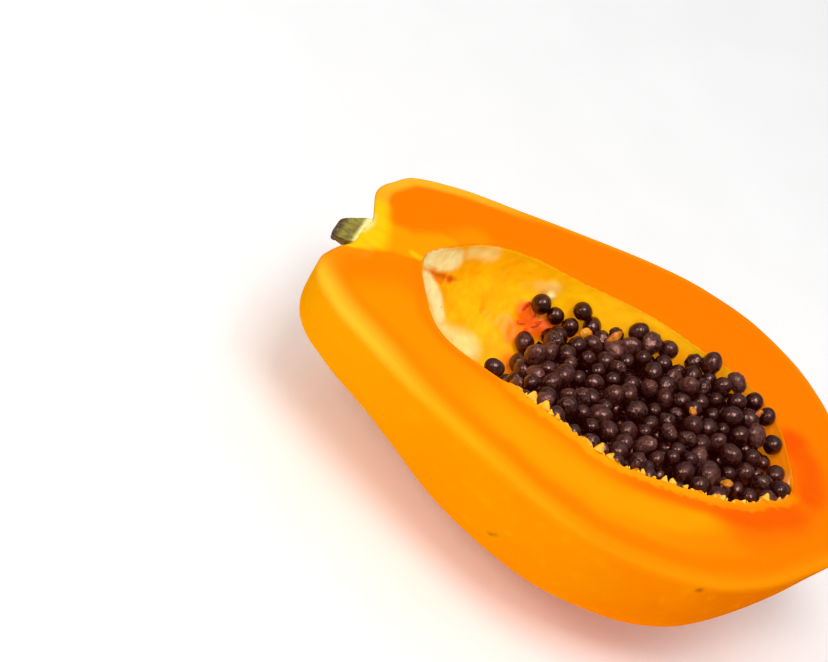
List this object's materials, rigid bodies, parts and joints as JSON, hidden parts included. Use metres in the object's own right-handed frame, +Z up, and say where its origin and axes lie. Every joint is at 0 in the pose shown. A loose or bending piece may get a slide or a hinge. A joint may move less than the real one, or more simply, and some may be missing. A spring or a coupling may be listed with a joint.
{
  "type": "papaya half",
  "caption": "Half of a ripe papaya, cut lengthwise and lying on its back: orange flesh, seed cavity with a heap of dark seeds, empty stem end and a stem stub.",
  "frame": {"origin": "under the middle of the fruit, on the surface that it rests on", "axes": "+X from the stem end to the blossom tip, +Y across the cut face, +Z up out of the cut face"},
  "size_m": [0.2, 0.1388, 0.0665],
  "materials": {
    "flesh": "moist orange fruit flesh with a thin smooth yellow-orange skin",
    "seed": "wet blackish-brown seed coat",
    "stem": "dry olive-green stalk, brown at its broken end"
  },
  "bodies": {
    "root": {"flesh": "flesh", "seeds": "seed", "stem": "stem", "stray_seed_side": "seed", "stray_seed_tip": "seed"}
  },
  "joints": []
}
